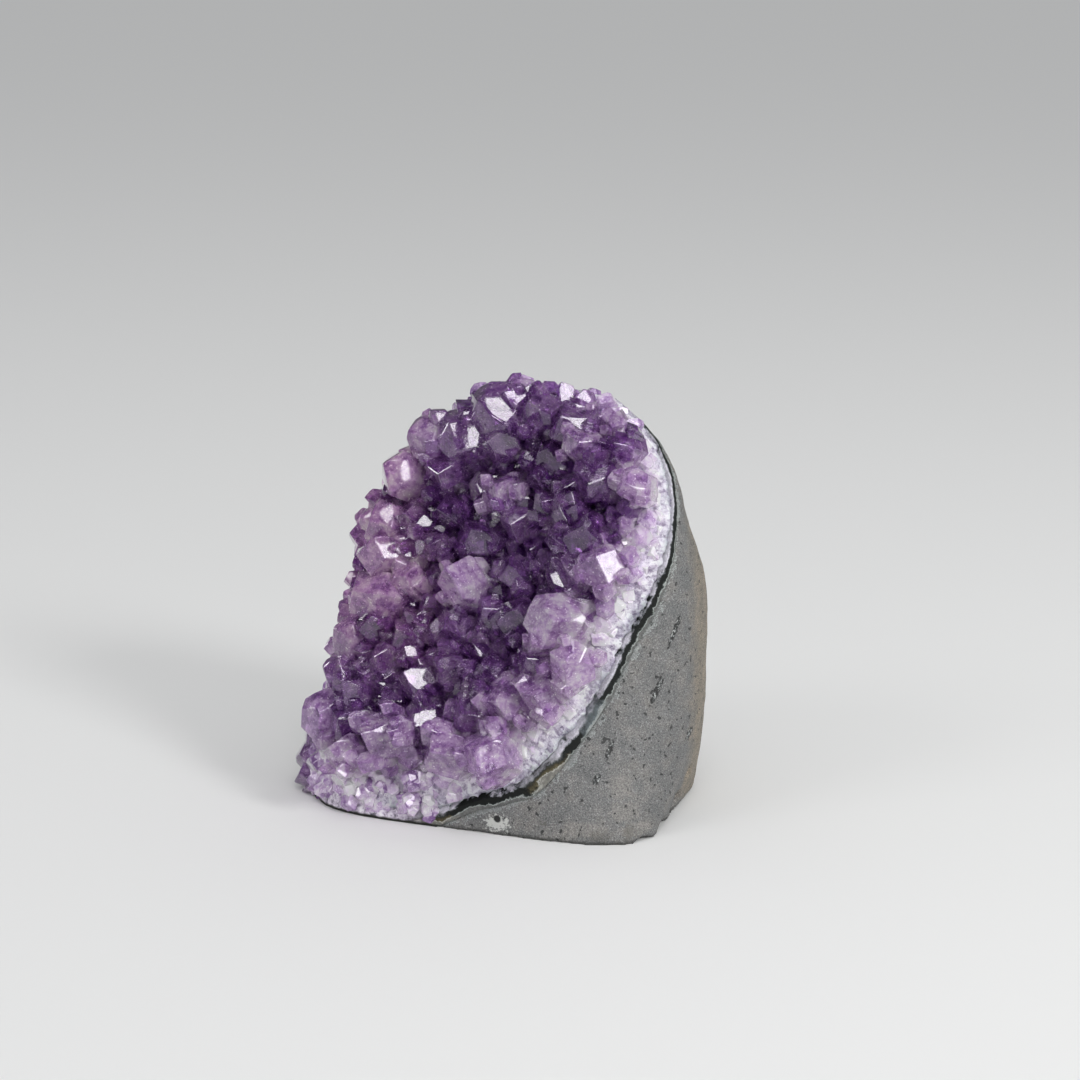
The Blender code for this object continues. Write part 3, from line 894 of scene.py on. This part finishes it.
def grow_side_point(shapes, random, root, axis, radius, length, spin, tone):
    """A smaller point that leans out of a large point's foot."""
    way = Matrix.Rotation(random.uniform(0, math.tau), 3, axis) @ axis.orthogonal().normalized()
    thin = radius * random.uniform(*SIDE_GIRTH)
    foot = root + way * (radius - 0.55 * thin) + axis * length * random.uniform(0.0, 0.2)
    lean = axis + way * random.uniform(0.0, SIDE_LEAN)
    reach = length * random.uniform(*SIDE_LENGTH)
    shade = tone + random.gauss(0, 0.05)
    turned = spin + random.gauss(0, 0.1)
    return stand_copy(random.choice(shapes), foot, lean, thin, reach, turned, shade)


def build_large_points(sharp, worn, rim, materials):
    random = Random(5)
    cores = []
    count = sum(name.startswith("amethyst_crystal") for name in nodes)
    for number in range(1, count + 1):
        node = f"amethyst_crystal_{number:02d}"
        root, axis, radius, length = measure_node(node)
        cores.append((root, axis, radius, length))
        is_worn = number in WORN_POINTS
        shapes = worn if is_worn else sharp
        if is_worn:
            radius *= WORN_GROWTH if root.z > LOW_WORN_HEIGHT else LOW_WORN_GROWTH
        tone = PALE_POINTS.get(number, random.gauss(0.05, 0.12))
        spin = random.uniform(0, math.tau) + (FURTHER_TURN if number in TURNED_POINTS else 0.0)
        squash = random.uniform(0.85, 1.0)
        family = [stand_copy(random.choice(shapes), root, axis, radius, length, spin, tone, squash)]
        for _ in range(random.randint(*(WORN_SIDE_COUNT if is_worn else SIDE_COUNT))):
            family.append(grow_side_point(shapes, random, root, axis, radius, length, spin, tone))
        point = join_pieces(family, f"amethyst_point_{number:02d}")
        mean = paint_crystals(point, rim)
        point.data.materials.append(materials[PALE if mean > PALE_FROM else DEEP])
        finish_piece(point, "amethyst", node)
    return cores


LEAST_DEPTH = 2.6  # how far from the lining crystals start, in millimetres


def bed_places(bed, distances):
    """Where crystals can root: centers of the bed's faces, each with its distance from the lining."""
    places = []
    for face in bed.data.polygons:
        index = face.vertices[0]
        if distances[index] > LEAST_DEPTH and face.normal.dot(OUTWARD) > 0.2:
            places.append((face.center.copy(), distances[index]))
    return places


def floor_direction(point):
    """The way crystals grow at a point, between the way the bed and the open face look."""
    normal = bed_surface.find_nearest(point)[1]
    return (normal + OUTWARD * 0.6).normalized()


def random_vector(random, spread):
    return Vector((random.gauss(0, spread), random.gauss(0, spread), random.gauss(0, spread)))


CLOSENESS = 0.60  # how near two small points stand, of the sum of their radii


def is_free(center, radius, grid, key):
    for step in range(27):
        near = (key[0] + step % 3 - 1, key[1] + step // 3 % 3 - 1, key[2] + step // 9 - 1)
        for other, other_radius in grid.get(near, ()):
            if (other - center).length < CLOSENESS * (radius + other_radius):
                return False
    return True


def clear_of_cores(center, radius, cores):
    for root, axis, core_radius, _ in cores:
        offset = center - root
        if (offset - axis * max(0.0, offset.dot(axis))).length < 0.55 * core_radius + 0.25 * radius:
            return False
    return True


LEAST_RADIUS, MOST_RADIUS = 0.9, 3.4  # of the small points, in millimetres
RIM_DEPTH = 6.0  # nearer to the lining than this they stay smaller, in millimetres
MOST_RIM_RADIUS = 2.6 * MM
ATTEMPTS = 22000
CELL = 7.0 * MM  # of the grid that finds neighbours


def sow_small_points(bed, distances, cores):
    """Places for small points where there is room, the large ones first."""
    random = Random(17)
    places = bed_places(bed, distances)
    sown, grid = [], {}
    for attempt in range(ATTEMPTS):
        center, depth = random.choice(places)
        share = (1.0 - attempt / ATTEMPTS) ** 1.7
        radius = (LEAST_RADIUS + (MOST_RADIUS - LEAST_RADIUS) * share) * MM
        if depth < RIM_DEPTH:
            radius = min(radius, MOST_RIM_RADIUS)
        key = tuple(int(c // CELL) for c in center)
        if is_free(center, radius, grid, key) and clear_of_cores(center, radius, cores):
            sown.append((center, radius, depth))
            grid.setdefault(key, []).append((center, radius))
    return sown


# lumps round the lower left corner: across, up the open face and out of it, radius and tone, with
# the lengths in millimetres
CORNER_POINTS = (
    (-43.6, 14.4, 0.5, 4.6, -0.32),
    (-44.8, 9.8, 0.0, 4.8, -0.34),
    (-44.0, 5.8, -0.5, 4.8, -0.16),
    (-41.4, 2.6, -0.5, 4.4, 0.02),
    (-38.2, 0.6, -0.5, 3.8, 0.06),
    (-39.8, 18.4, 0.5, 3.2, -0.30),
    (-40.4, 9.6, 2.0, 4.0, 0.06),
    (-39.8, 14.4, 2.2, 3.6, -0.20),
    (-37.6, 5.2, 1.0, 3.4, 0.10),
    (-35.0, 1.4, 0.0, 3.0, 0.10),
)
CORNER_LENGTH = 9.0 * MM


def build_corner_points(shapes):
    """The lumps that round off the lower left corner."""
    random = Random(71)
    points = []
    for across, height, out, radius, tone in CORNER_POINTS:
        tip = FACE_FOOT + (ACROSS * across + UPWARD * height + OUTWARD * out) * MM
        axis = (OUTWARD * 0.95 - ACROSS * 0.30 + UPWARD * random.uniform(-0.15, 0.1)).normalized()
        root = tip - axis * CORNER_LENGTH
        spin = random.uniform(0, math.tau)
        shape = random.choice(shapes)
        points.append(stand_copy(shape, root, axis, radius * MM, CORNER_LENGTH, spin, tone))
    return points


SKIRT_COUNT = 340
SKIRT_ACROSS = (-44.0, -6.0)  # where the skirt runs, in millimetres
SKIRT_HEIGHT = (2.8, 10.0)


def skirt_spots():
    """Center and area of the lining's and the bed's faces where the skirt grows."""
    (left, right), (low, high) = SKIRT_ACROSS, SKIRT_HEIGHT
    spots = []
    for node in ("celadonite_band", "quartz_bed"):
        for face in nodes[node].data.polygons:
            across = face.center.dot(ACROSS) / MM
            height = face.center.z / MM
            inside = left < across < right and low < height < high
            if inside and face.normal.dot(OUTWARD) > 0.3:
                spots.append((face.center.copy(), face.area))
    return spots


def scatter_on(spots, count, random):
    """Places over the given faces, more on a larger face, each with a radius."""
    centers = [center for center, _ in spots]
    areas = [area for _, area in spots]
    picked = []
    for center in random.choices(centers, areas, k=count):
        shift = random_vector(random, 0.8) * MM
        picked.append((center + shift, random.uniform(1.1, 2.4) * MM))
    return picked


def build_skirt_points(shapes):
    """Low flaky points that cover the lining along the lower left edge."""
    random = Random(53)
    points = []
    for center, radius in scatter_on(skirt_spots(), SKIRT_COUNT, random):
        tilt = Vector((random.gauss(0, 0.5), random.gauss(0, 0.5), random.gauss(-0.15, 0.4)))
        axis = (OUTWARD + tilt).normalized()
        length = radius * random.uniform(1.2, 1.7)
        proud = random.uniform(0.5, 1.2) + smooth_step(3.0, 7.0, center.z / MM)
        root = center - axis * (length - proud * MM)
        tone = random.gauss(-0.14, 0.24)
        shape = random.choice(shapes)
        spin = random.uniform(0, math.tau)
        points.append(stand_copy(shape, root, axis, radius, length, spin, tone))
    return points


ZONES = 5  # the small points are joined by kind and by height
FROSTED_DEPTH = 5.0  # nearer to the lining than this a pale point is frosted, in millimetres
FROSTED_TONE = -0.22  # and takes this on its tone, since its colours start paler
TILT = 0.46  # how unevenly the small points lean


def build_small_points(bed, distances, cores, sharp, worn, rim, materials):
    random = Random(29)
    groups = {}
    for center, radius, depth in sow_small_points(bed, distances, cores):
        axis = (floor_direction(center) + random_vector(random, TILT)).normalized()
        flush = smooth_step(3.0, 7.0, depth)
        length = radius * random.uniform(1.1, 2.5) * (0.16 + 0.84 * flush)
        spin = random.uniform(0, math.tau)
        squash = random.uniform(0.8, 1.0)
        tone = random.gauss(0.02, 0.13) + 0.10 * (1.0 - flush)
        shape = random.choice(sharp)
        kind = DEEP
        if paleness_at(center, rim, tone) > PALE_FROM:
            kind = FROSTED if depth < FROSTED_DEPTH else PALE
        if kind == FROSTED:
            tone += FROSTED_TONE
        point = stand_copy(shape, center, axis, radius, length, spin, tone, squash)
        zone = int(ZONES * min(0.999, max(0.0, center.z / STONE_HEIGHT)))
        groups.setdefault((kind, zone), []).append(point)
    groups.setdefault((PALE, 0), []).extend(build_corner_points(worn))
    groups.setdefault((FROSTED, 0), []).extend(build_skirt_points(sharp))
    for (kind, zone), points in sorted(groups.items()):
        piece = join_pieces(points, f"{KIND_NAMES[kind]}_small_points_{zone + 1}")
        paint_crystals(piece, rim)
        piece.data.materials.append(materials[kind])
        finish_piece(piece, "amethyst")


# ======== floor, light and camera
def build_floor():
    deselect_all()
    bpy.ops.mesh.primitive_plane_add(size=60.0, location=(0, 0, 0))
    floor = bpy.context.object
    floor.name = "pale_floor"
    material, _, shader = new_material("pale_floor")
    shader.inputs["Base Color"].default_value = (0.80, 0.80, 0.79, 1.0)
    shader.inputs["Roughness"].default_value = 0.8
    shader.inputs["Specular IOR Level"].default_value = 0.0
    floor.data.materials.append(material)


# lamps: name, azimuth to the right of the front, elevation, distance, size and power
LAMPS = (
    ("key", 48.0, 30.0, 1.1, 0.26, 4.8),
    ("top_softbox", 12.0, 62.0, 1.3, 0.50, 3.2),
    ("left_softbox", -62.0, 38.0, 1.5, 0.50, 2.2),
)
# panels that only the facets mirror: name, azimuth, elevation, size and radiance
PANELS = (
    ("high_front_panel", 15.0, 54.0, 0.50, 7.5),
    ("high_right_panel", 75.0, 68.0, 0.32, 8.0),
    ("key_panel", 44.0, 38.0, 0.50, 8.0),
    ("high_left_panel", -76.0, 60.0, 0.32, 5.0),
    ("low_front_panel", 14.0, 12.0, 0.52, 7.5),
    ("low_left_panel", -105.0, 9.0, 0.36, 7.5),
    ("right_panel", 72.0, 16.0, 0.42, 8.0),
    ("left_panel", -16.0, 24.0, 0.36, 7.5),
)
PANEL_DISTANCE = 1.4
SKY = 0.56  # the room's brightness
MIRRORED_SKY = 0.10  # and as the facets mirror it
AIM = Vector((0.0, 0.0, 0.045))  # the stone's middle, which every light faces
CAMERA_PLACE = (0.009167, -0.526811, 0.203952)
CAMERA_TILT = math.radians(75.0)


def add_area_light(name, azimuth, elevation, distance, size, power, mirrored_only):
    """A square light that faces the stone."""
    light = bpy.data.lights.new(name, "AREA")
    light.size = size
    light.energy = power
    lamp = bpy.data.objects.new(name, light)
    bpy.context.scene.collection.objects.link(lamp)
    right, up = math.radians(azimuth), math.radians(elevation)
    level = math.cos(up)
    direction = Vector((math.sin(right) * level, -math.cos(right) * level, math.sin(up)))
    lamp.location = AIM + direction * distance
    lamp.rotation_euler = (-direction).to_track_quat("-Z", "Y").to_euler()
    lamp.visible_camera = False
    lamp.visible_glossy = mirrored_only
    lamp.visible_diffuse = not mirrored_only


def build_light():
    world = bpy.data.worlds.new("soft_studio")
    bpy.context.scene.world = world
    world.use_nodes = True
    tree = world.node_tree
    background = tree.nodes["Background"]
    background.inputs["Color"].default_value = (0.97, 0.98, 1.0, 1.0)
    mirrored = add_node(tree, "ShaderNodeLightPath").outputs["Is Glossy Ray"]
    strength = math_node(tree, "MULTIPLY_ADD", mirrored, MIRRORED_SKY - SKY, SKY)
    tree.links.new(strength, background.inputs["Strength"])
    for lamp in LAMPS:
        add_area_light(*lamp, mirrored_only=False)
    for name, azimuth, elevation, size, radiance in PANELS:
        power = radiance * math.pi * size**2
        add_area_light(name, azimuth, elevation, PANEL_DISTANCE, size, power, mirrored_only=True)
    bpy.context.scene.view_settings.view_transform = "Standard"


def build_camera():
    camera = bpy.data.cameras.new("camera")
    camera.lens = 80.0
    camera.sensor_width = 36.0
    placed = bpy.data.objects.new("camera", camera)
    bpy.context.scene.collection.objects.link(placed)
    placed.location = CAMERA_PLACE
    placed.rotation_euler = (CAMERA_TILT, 0.0, 0.0)
    bpy.context.scene.camera = placed


# ======== the whole piece
lining_tree = surface_tree("celadonite_band")
bed_surface = surface_tree("quartz_bed")
stone_grain = stone_grain_group()
build_rock(stone_grain)
build_lining(stone_grain)
milky_bed, bed_distances = build_bed(stone_grain)
rim_tree = rim_points(milky_bed, bed_distances)
veil_group = crystal_veils_group()
amethysts = (
    amethyst_material("deep_amethyst", veil_group, 0.80, DEEP_STOPS, 0.02),
    amethyst_material("pale_amethyst", veil_group, 0.60, PALE_STOPS, 0.05),
    amethyst_material("frosted_amethyst", veil_group, 0.25, FROSTED_STOPS, 0.16),
)
# name, seed, wear of the edges in radii, least and most slope of the faces in degrees
sharp_points = [crystal_template(f"sharp_template_{n}", 40 + n, 0.035, (36.0, 49.0)) for n in range(9)]
worn_points = [crystal_template(f"worn_template_{n}", 80 + n, 0.42, (44.0, 56.0), 3) for n in range(4)]
large_points = build_large_points(sharp_points, worn_points, rim_tree, amethysts)
build_small_points(
    milky_bed, bed_distances, large_points, sharp_points, worn_points, rim_tree, amethysts
)
for template in sharp_points + worn_points:
    bpy.data.objects.remove(template)
build_floor()
build_light()
build_camera()
